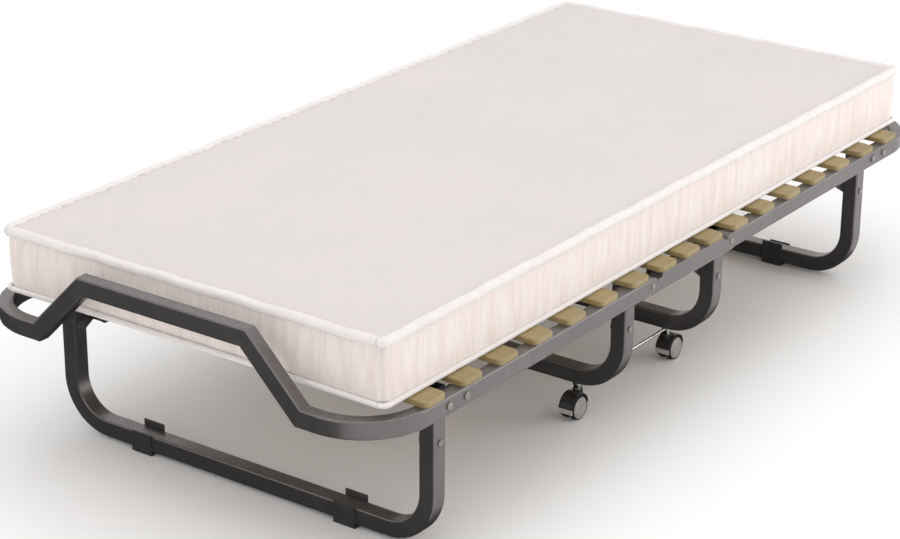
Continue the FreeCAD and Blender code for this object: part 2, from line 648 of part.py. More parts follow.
def build_half(end, place):
    """Every node of one folding half; place mirrors it to its own end."""
    save(end + "_frame", place([half_frame()]))
    save(end + "_hinge_plates", place(hinge_plates()))
    save(end + "_fasteners", place(half_fasteners()))
    for number, x in enumerate(half_slat_positions(), 1):
        save(end + "_slat_" + str(number), place([slat(x)]))
    split = MATTRESS_SPLIT_X
    save(end + "_mattress", place([mattress_part(-MATTRESS_LENGTH / 2, -split, True)]))
    middle = mattress_part(-split + MATTRESS_GAP, -MATTRESS_GAP / 2, False)
    save(end + "_mattress_bend", place([middle]))
    save(end + "_leg", place([end_leg()]))
    save(end + "_leg_lugs", place(end_leg_lugs()))
    bolts = both_sides(lug_bolt(-END_LEG_X)) + both_sides(stay_pin(-LEG_PIN_X))
    save(end + "_leg_pins", place(bolts))
    save(end + "_leg_pads", place(foot_pads()))
    save(end + "_stay_spacers", place(both_sides(stay_sleeve(-LEG_PIN_X))))
    right = stay()
    save(end + "_stay_right", place([right]))
    save(end + "_stay_left", place([mirrored(right, MIRROR_Y)]))


def main():
    """Builds both halves, the carriage and the casters."""
    os.makedirs("parts", exist_ok=True)
    build_half("foot", lambda solids: solids)
    build_half("head", lambda solids: [mirrored(s, MIRROR_X) for s in solids])
    rail = centre_rail()
    save("centre_rail_left", [rail])
    save("centre_rail_right", [mirrored(rail, MIRROR_Y)])
    save("centre_side_plates", side_plates())
    save("centre_fasteners", centre_fasteners())
    for number, i in enumerate((-1, 0, 1), 1):
        save("centre_slat_" + str(number), [slat(i * CENTRE_SLAT_PITCH)])
    leg = centre_leg()
    save("centre_leg_foot", [leg])
    save("centre_leg_head", [mirrored(leg, MIRROR_X)])
    save("centre_stay_lugs", carriage_lugs())
    save("centre_stay_pins", carriage_stay_pins())
    save("centre_stay_spacers", carriage_sleeves())
    save("tie_rods", tie_rods())
    save("caster_stems", [caster_stem(x, y) for _, x, y, _ in caster_positions()])
    for name, x, y, trail in caster_positions():
        save("caster_hood_" + name, [caster_hood(x, y, trail)])
        save("caster_wheels_" + name, caster_wheels(x, y, trail))


main()
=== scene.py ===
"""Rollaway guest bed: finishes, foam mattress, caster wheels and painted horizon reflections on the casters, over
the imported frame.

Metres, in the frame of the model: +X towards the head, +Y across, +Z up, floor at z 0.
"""
import math

import bmesh
import bpy
import numpy as np
from mathutils import Matrix, Vector


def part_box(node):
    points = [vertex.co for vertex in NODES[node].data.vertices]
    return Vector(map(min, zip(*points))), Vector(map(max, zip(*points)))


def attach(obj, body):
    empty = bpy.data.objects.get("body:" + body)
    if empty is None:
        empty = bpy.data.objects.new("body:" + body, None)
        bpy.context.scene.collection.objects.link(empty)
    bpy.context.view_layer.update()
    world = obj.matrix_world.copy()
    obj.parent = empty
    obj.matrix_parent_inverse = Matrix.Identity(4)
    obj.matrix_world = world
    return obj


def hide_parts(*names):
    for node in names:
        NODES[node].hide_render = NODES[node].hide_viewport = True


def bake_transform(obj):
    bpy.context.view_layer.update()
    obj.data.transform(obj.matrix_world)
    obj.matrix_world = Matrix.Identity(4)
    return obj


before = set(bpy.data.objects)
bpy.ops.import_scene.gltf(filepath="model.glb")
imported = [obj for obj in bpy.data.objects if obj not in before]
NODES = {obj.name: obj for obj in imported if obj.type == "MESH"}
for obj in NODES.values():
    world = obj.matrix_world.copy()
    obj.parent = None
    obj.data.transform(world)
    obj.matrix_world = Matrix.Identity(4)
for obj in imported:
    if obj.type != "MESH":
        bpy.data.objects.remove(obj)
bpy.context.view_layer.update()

ENDS = ("foot", "head")
SIDES = ("left", "right")
CAMERA_PLACE = (-3.93289, -2.73525, 2.12076)
CAMERA_AIM = (-53.817, 21.939, 0.168)    # azimuth, elevation and roll, in degrees
FLOOR_RADIUS = 14.0


# ---- camera ---------------------------------------------------------------------------
def set_camera():
    """Long lens from the foot end, to the right of the bed and above it."""
    azimuth, elevation, roll = (math.radians(a) for a in CAMERA_AIM)
    back = Vector((math.sin(azimuth) * math.cos(elevation),
                   -math.cos(azimuth) * math.cos(elevation), math.sin(elevation)))
    right = Vector((math.cos(azimuth), math.sin(azimuth), 0.0))
    up = back.cross(right)
    right, up = (right * math.cos(roll) + up * math.sin(roll),
                 up * math.cos(roll) - right * math.sin(roll))
    data = bpy.data.cameras.new("bed_camera")
    data.sensor_width = 36.0
    data.lens = 99.1
    data.shift_x = 0.0160
    data.shift_y = -0.0075
    data.clip_end = 60.0
    camera = bpy.data.objects.new("bed_camera", data)
    turn = Matrix((right, up, back)).transposed().to_4x4()
    camera.matrix_world = Matrix.Translation(CAMERA_PLACE) @ turn
    bpy.context.scene.collection.objects.link(camera)
    bpy.context.scene.camera = camera


# ---- light and floor --------------------------------------------------------------------
def soft_box(name, place, aim, width, height, power, colour=(1.0, 1.0, 1.0)):
    """Rectangular lamp at place, facing aim."""
    data = bpy.data.lights.new(name, "AREA")
    data.shape = "RECTANGLE"
    data.size, data.size_y = width, height
    data.energy = power
    data.color = colour
    lamp = bpy.data.objects.new(name, data)
    away = (Vector(aim) - Vector(place)).normalized()
    lamp.matrix_world = Matrix.Translation(place) @ away.to_track_quat("-Z", "Y").to_matrix().to_4x4()
    bpy.context.scene.collection.objects.link(lamp)


def set_studio():
    """Pale surroundings, one broad lamp overhead, one on the right and a weak one at the foot."""
    world = bpy.data.worlds.new("studio")
    bpy.context.scene.world = world
    world.use_nodes = True
    sky = world.node_tree.nodes["Background"]
    sky.inputs["Color"].default_value = (1.0, 0.99, 0.985, 1.0)
    sky.inputs["Strength"].default_value = 1.0
    soft_box("overhead", (-0.3, -0.4, 3.6), (0.0, 0.0, 0.2), 4.2, 3.0, 30.0)
    soft_box("right_side", (3.4, -4.2, 0.9), (0.1, 0.0, 0.3), 3.6, 1.8, 68.0, (1.0, 0.985, 0.97))
    soft_box("foot_side", (-4.8, -0.6, 1.5), (-0.8, 0.0, 0.3), 2.2, 1.8, 8.0, (1.0, 0.99, 0.985))
    bpy.context.scene.view_settings.view_transform = "Standard"


def lay_floor():
    """Pale floor disc half a millimetre under z 0, in rings that widen by the square of their count."""
    rings, spokes = 24, 72
    radius = FLOOR_RADIUS * (np.arange(rings + 1) / rings) ** 2
    turn = np.arange(spokes) * 2 * math.pi / spokes
    points = np.stack([np.outer(radius, np.cos(turn)), np.outer(radius, np.sin(turn)),
                       np.full((rings + 1, spokes), -0.0005)], axis=-1)
    floor = surface("studio_floor", points[::-1], floor_finish(), wrap=True)


def lay_dark_card():
    """Black card on the floor at the foot, seen only in gloss, so that end faces stay deep in tone.

    A grid of 8 by 6 cells from x -4.2 to 0.9 and y -0.47 to 3, a millimetre over the floor.
    """
    x, y = np.meshgrid(np.linspace(-4.2, 0.9, 9), np.linspace(-0.47, 3.0, 7))
    card = surface("dark_card", np.stack([x, y, np.full_like(x, 0.001)], axis=-1), dark_card_finish())
    for ray in ("camera", "diffuse", "shadow", "transmission", "volume_scatter"):
        setattr(card, "visible_" + ray, False)


# ---- mesh helpers -----------------------------------------------------------------------
def surface(name, grid, material, wrap=False):
    """Mesh of a grid of points, rows by columns; wrap joins the last column to the first.

    Rows that shrink to a point or meet each other are merged, so poles close.
    """
    rows, columns = grid.shape[:2]
    index = np.arange(rows * columns).reshape(rows, columns)
    following = np.roll(index, -1, axis=1) if wrap else index[:, 1:]
    first = index if wrap else index[:, :-1]
    faces = np.stack([first[:-1], following[:-1], following[1:], first[1:]], axis=-1).reshape(-1, 4)
    mesh = bpy.data.meshes.new(name)
    mesh.from_pydata(grid.reshape(-1, 3).tolist(), [], faces.tolist())
    mesh.materials.append(material)
    work = bmesh.new()
    work.from_mesh(mesh)
    bmesh.ops.remove_doubles(work, verts=work.verts, dist=2e-6)
    bmesh.ops.dissolve_degenerate(work, edges=work.edges, dist=1e-7)
    work.to_mesh(mesh)
    work.free()
    mesh.polygons.foreach_set("use_smooth", np.ones(len(mesh.polygons), dtype=bool))
    obj = bpy.data.objects.new(name, mesh)
    bpy.context.scene.collection.objects.link(obj)
    return obj


def points_of(mesh):
    """Every vertex of a mesh as one array."""
    flat = np.empty(len(mesh.vertices) * 3)
    mesh.vertices.foreach_get("co", flat)
    return flat.reshape(-1, 3)


def put_points(mesh, points):
    """Moves every vertex of a mesh."""
    mesh.vertices.foreach_set("co", points.ravel())
    mesh.update()


def joined(name, parts):
    """One object from several meshes that share the same list of materials."""
    work = bmesh.new()
    for part in parts:
        work.from_mesh(part.data)
    mesh = bpy.data.meshes.new(name)
    work.to_mesh(mesh)
    work.free()
    for material in parts[0].data.materials:
        mesh.materials.append(material)
    mesh.polygons.foreach_set("use_smooth", np.ones(len(mesh.polygons), dtype=bool))
    obj = bpy.data.objects.new(name, mesh)
    bpy.context.scene.collection.objects.link(obj)
    for part in parts:
        bpy.data.objects.remove(part)
    return obj


# ---- shader helpers ---------------------------------------------------------------------
def add(tree, kind, inputs=None, **settings):
    """Adds a node, sets it up, and fills or links its inputs."""
    made = tree.nodes.new(kind)
    for key, value in settings.items():
        setattr(made, key, value)
    for key, value in (inputs or {}).items():
        if isinstance(value, bpy.types.NodeSocket):
            tree.links.new(value, made.inputs[key])
        else:
            made.inputs[key].default_value = value
    return made


def maths(tree, operation, *values, clamp=False):
    """Output of one Math node."""
    return add(tree, "ShaderNodeMath", dict(enumerate(values)), operation=operation, use_clamp=clamp).outputs[0]


def spread(tree, value, low, high, to_low=0.0, to_high=1.0):
    """Value carried from one range to another, clamped."""
    names = {"Value": value, "From Min": low, "From Max": high, "To Min": to_low, "To Max": to_high}
    return add(tree, "ShaderNodeMapRange", names).outputs["Result"]


def blend_colours(tree, factor, first, second):
    """Output of one colour mix."""
    mix = add(tree, "ShaderNodeMix", data_type="RGBA")
    for socket, value in ((mix.inputs[0], factor), (mix.inputs[6], first), (mix.inputs[7], second)):
        if isinstance(value, bpy.types.NodeSocket):
            tree.links.new(value, socket)
        else:
            socket.default_value = value
    return mix.outputs[2]


def new_group(name, inputs, outputs):
    """Empty shader group with its sockets; gives the tree, what comes in and what goes out."""
    tree = bpy.data.node_groups.new(name, "ShaderNodeTree")
    for label, kind, value in inputs:
        socket = tree.interface.new_socket(name=label, in_out="INPUT", socket_type="NodeSocket" + kind)
        if value is not None:
            socket.default_value = value
    for label, kind in outputs:
        tree.interface.new_socket(name=label, in_out="OUTPUT", socket_type="NodeSocket" + kind)
    return tree, tree.nodes.new("NodeGroupInput").outputs, tree.nodes.new("NodeGroupOutput").inputs


def use(tree, group, **inputs):
    """Places a group in a tree and sets or links its inputs."""
    placed = tree.nodes.new("ShaderNodeGroup")
    placed.node_tree = group
    for key, value in inputs.items():
        if isinstance(value, bpy.types.NodeSocket):
            tree.links.new(value, placed.inputs[key])
        else:
            placed.inputs[key].default_value = value
    return placed


def new_finish(name, **settings):
    """Material with one Principled shader; plain settings go straight on its sockets."""
    material = bpy.data.materials.new(name)
    material.use_nodes = True
    tree = material.node_tree
    tree.nodes.clear()
    shader = tree.nodes.new("ShaderNodeBsdfPrincipled")
    out = tree.nodes.new("ShaderNodeOutputMaterial")
    tree.links.new(shader.outputs[0], out.inputs["Surface"])
    for key, value in settings.items():
        shader.inputs[key.replace("_", " ")].default_value = value
    return material, tree, shader


def object_place(tree):
    """The point on the piece, in metres."""
    return tree.nodes.new("ShaderNodeTexCoord").outputs["Object"]


def bump(tree, shader, height, distance, strength=1.0):
    """Raises the surface by height times distance, in metres."""
    made = add(tree, "ShaderNodeBump", {"Height": height, "Distance": distance, "Strength": strength})
    tree.links.new(made.outputs["Normal"], shader.inputs["Normal"])


# ---- shared effects -----------------------------------------------------------------------
def make_mottle():
    """Slow unevenness: two sizes of noise added, spread from Low to High."""
    tree, given, out = new_group("mottle", [("Place", "Vector", None), ("Scale", "Float", 8.0),
                                            ("Low", "Float", 0.0), ("High", "Float", 1.0)], [("Value", "Float")])
    broad = add(tree, "ShaderNodeTexNoise", {"Vector": given["Place"], "Scale": given["Scale"], "Detail": 3.0})
    fine_scale = maths(tree, "MULTIPLY", given["Scale"], 7.3)
    fine = add(tree, "ShaderNodeTexNoise", {"Vector": given["Place"], "Scale": fine_scale, "Detail": 2.0})
    both = maths(tree, "MULTIPLY_ADD", fine.outputs[0], 0.35, maths(tree, "MULTIPLY", broad.outputs[0], 0.65))
    tree.links.new(spread(tree, both, 0.35, 0.65, given["Low"], given["High"]), out["Value"])
    return tree


def make_edge_wear_and_highlight():
    """How much the surface turns within Radius: 0 on a flat face, 1 along a sharp edge; used as a painted
    highlight along the powder coat's edges and as edge wear on the plastics.
    """
    tree, given, out = new_group("edge_wear_and_highlight", [("Radius", "Float", 0.003), ("Gain", "Float", 4.0)],
                                 [("Mask", "Float")])
    rounded = add(tree, "ShaderNodeBevel", {"Radius": given["Radius"]}, samples=6)
    flat = tree.nodes.new("ShaderNodeNewGeometry")
    same = add(tree, "ShaderNodeVectorMath", {0: rounded.outputs[0], 1: flat.outputs["Normal"]},
               operation="DOT_PRODUCT")
    turned = maths(tree, "SUBTRACT", 1.0, same.outputs["Value"])
    tree.links.new(maths(tree, "MULTIPLY", turned, given["Gain"], clamp=True), out["Mask"])
    return tree


def make_orange_peel():
    """Sprayed skin: fine round waves with a few larger ones, as a height."""
    tree, given, out = new_group("orange_peel", [("Place", "Vector", None), ("Scale", "Float", 700.0)],
                                 [("Height", "Float")])
    small = add(tree, "ShaderNodeTexNoise", {"Vector": given["Place"], "Scale": given["Scale"], "Detail": 1.0})
    wide_scale = maths(tree, "MULTIPLY", given["Scale"], 0.22)
    wide = add(tree, "ShaderNodeTexNoise", {"Vector": given["Place"], "Scale": wide_scale, "Detail": 0.0})
    tree.links.new(maths(tree, "MULTIPLY_ADD", wide.outputs[0], 0.6, small.outputs[0]), out["Height"])
    return tree


def make_settled_dust():
    """Dust on faces that look up, broken by noise, from 0 to Amount."""
    tree, given, out = new_group("settled_dust", [("Place", "Vector", None), ("Amount", "Float", 0.2)],
                                 [("Mask", "Float")])
    facing = add(tree, "ShaderNodeSeparateXYZ", {0: tree.nodes.new("ShaderNodeNewGeometry").outputs["Normal"]})
    upward = spread(tree, facing.outputs[2], 0.35, 1.0)
    specks = add(tree, "ShaderNodeTexNoise", {"Vector": given["Place"], "Scale": 160.0, "Detail": 6.0})
    broken = spread(tree, specks.outputs[0], 0.42, 0.62)
    tree.links.new(maths(tree, "MULTIPLY", maths(tree, "MULTIPLY", upward, broken), given["Amount"]), out["Mask"])
    return tree


def make_cloth_weave():
    """Fine knit: two crossed waves of threads Pitch apart with a little noise, as a height."""
    tree, given, out = new_group("cloth_weave", [("Place", "Vector", None), ("Pitch", "Float", 0.0016)],
                                 [("Height", "Float")])
    split = add(tree, "ShaderNodeSeparateXYZ", {0: given["Place"]})
    turns = maths(tree, "DIVIDE", 2 * math.pi, given["Pitch"])
    waves = [maths(tree, "SINE", maths(tree, "MULTIPLY", split.outputs[i], turns)) for i in range(3)]
    crossed = maths(tree, "MULTIPLY_ADD", waves[0], waves[1], maths(tree, "MULTIPLY", waves[2], 0.6))
    fuzz = add(tree, "ShaderNodeTexNoise", {"Vector": given["Place"], "Scale": 420.0, "Detail": 3.0})
    tree.links.new(maths(tree, "MULTIPLY_ADD", fuzz.outputs[0], 1.2, crossed), out["Height"])
    return tree


MOTTLE = make_mottle()
EDGE_WEAR_AND_HIGHLIGHT = make_edge_wear_and_highlight()
ORANGE_PEEL = make_orange_peel()
SETTLED_DUST = make_settled_dust()
CLOTH_WEAVE = make_cloth_weave()


# ---- finishes ---------------------------------------------------------------------------
def floor_finish():
    """Pale matt floor with hardly any tone change."""
    material, tree, shader = new_finish("pale_floor", Roughness=0.7, Specular_IOR_Level=0.15)
    tone = use(tree, MOTTLE, Place=object_place(tree), Scale=1.2)
    colour = blend_colours(tree, tone.outputs[0], (0.945, 0.94, 0.94, 1), (0.955, 0.952, 0.95, 1))
    tree.links.new(colour, shader.inputs["Base Color"])
    return material


def dark_card_finish():
    """Matt black card, slightly uneven."""
    material, tree, shader = new_finish("dark_card", Roughness=0.9, Specular_IOR_Level=0.0)
    tone = use(tree, MOTTLE, Place=object_place(tree), Scale=2.0)
    colour = blend_colours(tree, tone.outputs[0], (0.010, 0.010, 0.010, 1), (0.016, 0.016, 0.016, 1))
    tree.links.new(colour, shader.inputs["Base Color"])
    return material


def charcoal_coat():
    """Semi-gloss charcoal powder coat: a painted highlight along edges, slightly cloudy, with a sprayed skin."""
    material, tree, shader = new_finish("charcoal_coat", Metallic=0.8, Coat_Weight=0.15, Coat_Roughness=0.2)
    place = object_place(tree)
    cloud = use(tree, MOTTLE, Place=place, Scale=5.0)
    edge = use(tree, EDGE_WEAR_AND_HIGHLIGHT, Radius=0.0016, Gain=5.0)
    dust = use(tree, SETTLED_DUST, Place=place, Amount=0.10)
    body = blend_colours(tree, cloud.outputs[0], (0.145, 0.137, 0.135, 1), (0.170, 0.161, 0.159, 1))
    # painted highlight: the edges are blended towards pale grey, standing in for light caught along them
    with_edge_highlight = blend_colours(tree, maths(tree, "MULTIPLY", edge.outputs[0], 0.55), body, (0.62, 0.60, 0.59, 1))
    dusty = blend_colours(tree, dust.outputs[0], with_edge_highlight, (0.42, 0.40, 0.38, 1))
    tree.links.new(dusty, shader.inputs["Base Color"])
    sheen = use(tree, MOTTLE, Place=place, Scale=30.0, Low=0.33, High=0.43)
    tree.links.new(sheen.outputs[0], shader.inputs["Roughness"])
    skin = use(tree, ORANGE_PEEL, Place=place, Scale=650.0)
    bump(tree, shader, skin.outputs[0], 0.00006)
    return material


def zinc_bolt():
    """Dark zinc on bolts and pins: a cloudy tone, an uneven polish and bright edges."""
    material, tree, shader = new_finish("zinc_bolt", Metallic=0.9)
    place = object_place(tree)
    edge = use(tree, EDGE_WEAR_AND_HIGHLIGHT, Radius=0.0008, Gain=6.0)
    tone = use(tree, MOTTLE, Place=place, Scale=90.0)
    body = blend_colours(tree, tone.outputs[0], (0.20, 0.195, 0.19, 1), (0.30, 0.29, 0.28, 1))
    tree.links.new(blend_colours(tree, edge.outputs[0], body, (0.55, 0.54, 0.52, 1)), shader.inputs["Base Color"])
    rough = use(tree, MOTTLE, Place=place, Scale=260.0, Low=0.28, High=0.48)
    tree.links.new(rough.outputs[0], shader.inputs["Roughness"])
    return material


def bright_metal(name, colour, low, high):
    """Plated round stock: fine draw lines along X and a varying polish."""
    material, tree, shader = new_finish(name, Metallic=1.0)
    place = object_place(tree)
    long_lines = add(tree, "ShaderNodeMapping", {"Vector": place, "Scale": (3.0, 900.0, 900.0)})
    lines = add(tree, "ShaderNodeTexNoise", {"Vector": long_lines.outputs[0], "Scale": 1.0, "Detail": 2.0})
    paler = tuple(min(1.0, c * 1.15) for c in colour[:3]) + (1,)
    tree.links.new(blend_colours(tree, lines.outputs[0], colour, paler), shader.inputs["Base Color"])
    rough = use(tree, MOTTLE, Place=place, Scale=120.0, Low=low, High=high)
    tree.links.new(rough.outputs[0], shader.inputs["Roughness"])
    bump(tree, shader, lines.outputs[0], 0.00002)
    return material


def beech_wood():
    """Clear-coated beech along Y: growth bands, short dark flecks, a fine pore, and painted shade darkening its
    ends.
    """
    material, tree, shader = new_finish("beech_wood", Coat_Weight=0.12, Coat_Roughness=0.3)
    place = object_place(tree)
    stretched = add(tree, "ShaderNodeMapping", {"Vector": place, "Scale": (1.0, 0.06, 1.0)})
    bends = add(tree, "ShaderNodeTexNoise", {"Vector": stretched.outputs[0], "Scale": 14.0, "Detail": 2.0})
    bent = add(tree, "ShaderNodeVectorMath", {0: bends.outputs["Color"], 1: (0.03, 0.03, 0.03),
                                              2: stretched.outputs[0]}, operation="MULTIPLY_ADD")
    bands = add(tree, "ShaderNodeTexNoise", {"Vector": bent.outputs[0], "Scale": 120.0, "Detail": 3.0})
    board = add(tree, "ShaderNodeMapping", {"Vector": place, "Scale": (1.0, 0.0, 0.0)})
    between = add(tree, "ShaderNodeTexNoise", {"Vector": board.outputs[0], "Scale": 9.0, "Detail": 0.0})
    fleck_place = add(tree, "ShaderNodeMapping", {"Vector": place, "Scale": (900.0, 120.0, 900.0)})
    flecks = add(tree, "ShaderNodeTexVoronoi", {"Vector": fleck_place.outputs[0], "Scale": 1.0})
    fleck = spread(tree, flecks.outputs["Distance"], 0.05, 0.22, 1.0, 0.0)
    pore_place = add(tree, "ShaderNodeMapping", {"Vector": place, "Scale": (2400.0, 60.0, 2400.0)})
    pores = add(tree, "ShaderNodeTexNoise", {"Vector": pore_place.outputs[0], "Scale": 1.0, "Detail": 1.0})
    pale = blend_colours(tree, spread(tree, between.outputs[0], 0.35, 0.65),
                         (0.310, 0.236, 0.096, 1), (0.385, 0.290, 0.124, 1))
    banded = blend_colours(tree, spread(tree, bands.outputs[0], 0.45, 0.7, 0.0, 0.45), pale,
                           (0.25, 0.170, 0.075, 1))
    flecked = blend_colours(tree, maths(tree, "MULTIPLY", fleck, 0.35), banded, (0.17, 0.105, 0.045, 1))
    # painted shade: the last few centimetres at each end are darkened where the mattress edge shades the slats
    across = maths(tree, "ABSOLUTE", add(tree, "ShaderNodeSeparateXYZ", {0: place}).outputs[1])
    ends = spread(tree, across, 0.440, 0.480, 0.0, 0.35)
    tree.links.new(blend_colours(tree, ends, flecked, (0.19, 0.135, 0.065, 1)), shader.inputs["Base Color"])
    tree.links.new(spread(tree, pores.outputs[0], 0.3, 0.7, 0.42, 0.58), shader.inputs["Roughness"])
    bump(tree, shader, maths(tree, "MULTIPLY_ADD", bands.outputs[0], 0.5, pores.outputs[0]), 0.00009)
    return material


def mattress_ticking():
    """Warm white knitted cover: upright gathers on the border with painted shade along them, smooth panels; the
    border is painted lighter than the panels, as painted light on the sides.
    """
    material, tree, shader = new_finish("mattress_ticking", Roughness=0.86, Sheen_Weight=0.25,
                                        Sheen_Roughness=0.5, Specular_IOR_Level=0.2)
    place = object_place(tree)
    around = add(tree, "ShaderNodeAttribute", None, attribute_name="around").outputs["Fac"]
    border = add(tree, "ShaderNodeAttribute", None, attribute_name="border").outputs["Fac"]
    height = add(tree, "ShaderNodeSeparateXYZ", {0: place}).outputs[2]
    streak_place = add(tree, "ShaderNodeCombineXYZ", {0: maths(tree, "MULTIPLY", around, 190.0),
                                                      1: maths(tree, "MULTIPLY", height, 16.0)})
    streaks = add(tree, "ShaderNodeTexNoise", {"Vector": streak_place.outputs[0], "Scale": 1.0, "Detail": 3.0})
    wide_place = add(tree, "ShaderNodeCombineXYZ", {0: maths(tree, "MULTIPLY", around, 55.0),
                                                    1: maths(tree, "MULTIPLY", height, 9.0), 2: 4.0})
    wide = add(tree, "ShaderNodeTexNoise", {"Vector": wide_place.outputs[0], "Scale": 1.0, "Detail": 1.0})
    gathers = maths(tree, "MULTIPLY_ADD", streaks.outputs[0], 0.6, maths(tree, "MULTIPLY", wide.outputs[0], 0.7))
    cloud = use(tree, MOTTLE, Place=place, Scale=3.0)
    # Border and panels are one cloth: the border colours are painted lighter than the panels, as painted light on
    # the sides.
    panel = blend_colours(tree, cloud.outputs[0], (0.625, 0.592, 0.583, 1), (0.655, 0.614, 0.606, 1))
    # painted shade: the border colour darkens and lightens along its gathers, standing in for the shade of the
    # folds
    shade = spread(tree, gathers, 0.48, 0.80)
    side = blend_colours(tree, shade, (0.730, 0.648, 0.600, 1), (0.815, 0.742, 0.702, 1))
    tree.links.new(blend_colours(tree, border, panel, side), shader.inputs["Base Color"])
    weave = use(tree, CLOTH_WEAVE, Place=place, Pitch=0.0024)
    raised = maths(tree, "MULTIPLY", maths(tree, "MULTIPLY", gathers, border), 12.0)
    bump(tree, shader, maths(tree, "ADD", raised, weave.outputs[0]), 0.00012)
    return material


def edge_tape():
    """White edging tape: a fine rib across the roll, with the small dips of its stitches."""
    material, tree, shader = new_finish("edge_tape", Roughness=0.78, Sheen_Weight=0.3,
                                        Sheen_Roughness=0.4, Specular_IOR_Level=0.25)
    place = object_place(tree)
    run = add(tree, "ShaderNodeUVMap", None, uv_map="run")
    split = add(tree, "ShaderNodeSeparateXYZ", {0: run.outputs[0]})
    ribs = maths(tree, "SINE", maths(tree, "MULTIPLY", split.outputs[0], 2 * math.pi / 0.0026))
    cloud = use(tree, MOTTLE, Place=place, Scale=22.0)
    colour = blend_colours(tree, cloud.outputs[0], (0.735, 0.700, 0.683, 1), (0.785, 0.752, 0.738, 1))
    tree.links.new(colour, shader.inputs["Base Color"])
    pulled = maths(tree, "MULTIPLY", cloud.outputs[0], 5.0)
    bump(tree, shader, maths(tree, "ADD", ribs, pulled), 0.00011)
    return material


def moulded_plastic(name, low_colour, high_colour, low, high):
    """Moulded nylon: spark-eroded grain, pale scuffs on its edges, dust on top."""
    material, tree, shader = new_finish(name, Specular_IOR_Level=0.5)
    place = object_place(tree)
    tone = use(tree, MOTTLE, Place=place, Scale=40.0)
    edge = use(tree, EDGE_WEAR_AND_HIGHLIGHT, Radius=0.001, Gain=3.0)
    dust = use(tree, SETTLED_DUST, Place=place, Amount=0.12)
    body = blend_colours(tree, tone.outputs[0], low_colour, high_colour)
    paler = tuple(min(1.0, c * 1.6 + 0.02) for c in high_colour[:3]) + (1,)
    scuffed = blend_colours(tree, maths(tree, "MULTIPLY", edge.outputs[0], 0.5), body, paler)
    tree.links.new(blend_colours(tree, dust.outputs[0], scuffed, (0.35, 0.33, 0.31, 1)),
                   shader.inputs["Base Color"])
    rough = use(tree, MOTTLE, Place=place, Scale=150.0, Low=low, High=high)
    tree.links.new(rough.outputs[0], shader.inputs["Roughness"])
    grain = use(tree, ORANGE_PEEL, Place=place, Scale=1800.0)
    bump(tree, shader, grain.outputs[0], 0.00003)
    return material


COAT = charcoal_coat()
BOLT = zinc_bolt()
BEECH = beech_wood()
CHROME = bright_metal("stem_chrome", (0.62, 0.61, 0.60, 1), 0.10, 0.2)
ROD_STEEL = bright_metal("rod_steel", (0.66, 0.65, 0.64, 1), 0.2, 0.34)
TICKING = mattress_ticking()
TAPE = edge_tape()
BLACK = moulded_plastic("black_nylon", (0.012, 0.011, 0.011, 1), (0.022, 0.020, 0.020, 1), 0.3, 0.45)
PAD_NYLON = moulded_plastic("pad_nylon", (0.030, 0.028, 0.028, 1), (0.042, 0.039, 0.038, 1), 0.4, 0.55)
TYRE = moulded_plastic("dark_tyre", (0.018, 0.016, 0.016, 1), (0.032, 0.029, 0.028, 1), 0.42, 0.6)
DISC = moulded_plastic("grey_disc", (0.29, 0.274, 0.271, 1), (0.36, 0.341, 0.337, 1), 0.34, 0.48)
# painted reflection: pale grey strips standing in for the horizon's reflection on the caster hoods
PAINTED_REFLECTION = moulded_plastic("hood_painted_reflection", (0.40, 0.375, 0.37, 1), (0.47, 0.44, 0.435, 1), 0.35, 0.5)


def finish_for(node):
    """The finish of a piece of the frame, by what its name says it is."""
    for words, material in (
        (("slat",), BEECH),
        (("fasteners", "leg_pins", "stay_pins"), BOLT),
        (("tie_rods",), ROD_STEEL),
        (("caster_stems",), CHROME),
        (("leg_pads",), PAD_NYLON),
        (("spacers", "caster_hood"), BLACK),
        (("caster_wheels",), DISC),
        (("mattress",), TICKING),
    ):
        if any(word in node for word in words):
            return material
    return COAT


def paint_frame():
    """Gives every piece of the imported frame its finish."""
    for name, obj in NODES.items():
        obj.data.materials.clear()
        obj.data.materials.append(finish_for(name))


# ---- mattress -----------------------------------------------------------------------------
FOAM_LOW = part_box("foot_mattress")[0]
FOAM_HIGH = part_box("head_mattress")[1]
HALF_X, HALF_Y = FOAM_HIGH.x, FOAM_HIGH.y
CORNER = 0.017
TOP_ROLL = 0.0095             # radius of the roll round the top
LOW_ROLL = 0.0052             # radius of the piping round the bottom
BORDER_INSET = 0.0065
END_STRIP = 0.0003            # width of the last strip of faces beside the fold line
VOXEL = 0.009                 # cell of the remeshed cover
SWELL_STEPS = 20
SWELL_PRESSURE = 4.0
SWELL_CAP = 0.0045            # no point moves further than this in the simulation


def outline(half_x, half_y, radius, count):
    """Points, outward angles and distances round a rectangle with round corners.

    The four corner arcs are joined by straight runs, and the whole length is divided evenly.
    """
    arc = np.linspace(0, math.pi / 2, 25)
    centres = ((1, 1), (-1, 1), (-1, -1), (1, -1))
    angle = np.concatenate([arc + k * math.pi / 2 for k in range(4)] + [[2 * math.pi]])
    centre_x = np.repeat([c[0] * (half_x - radius) for c in centres], arc.size)
    centre_y = np.repeat([c[1] * (half_y - radius) for c in centres], arc.size)
    x = np.append(centre_x, half_x - radius) + radius * np.cos(angle)
    y = np.append(centre_y, half_y - radius) + radius * np.sin(angle)
    run = np.concatenate([[0.0], np.cumsum(np.hypot(np.diff(x), np.diff(y)))])
    at = np.linspace(0, run[-1], count, endpoint=False)
    return np.interp(at, run, x), np.interp(at, run, y), np.interp(at, run, angle), at


def edge_wander(x, y):
    """Slow rise and fall of the sewn edges: four sine waves of the place, a millimetre high."""
    return 0.0006 * (np.sin(23.0 * x + 1.7) + np.sin(41.0 * y - 0.4)
                     + 0.8 * np.sin(61.0 * x + 37.0 * y) + 0.6 * np.sin(97.0 * x - 71.0 * y + 2.0))


def sag(y):
    """How far the underside hangs down towards the sides, as the slats bow: a parabola across."""
    return 0.0030 * np.square(y / HALF_Y)


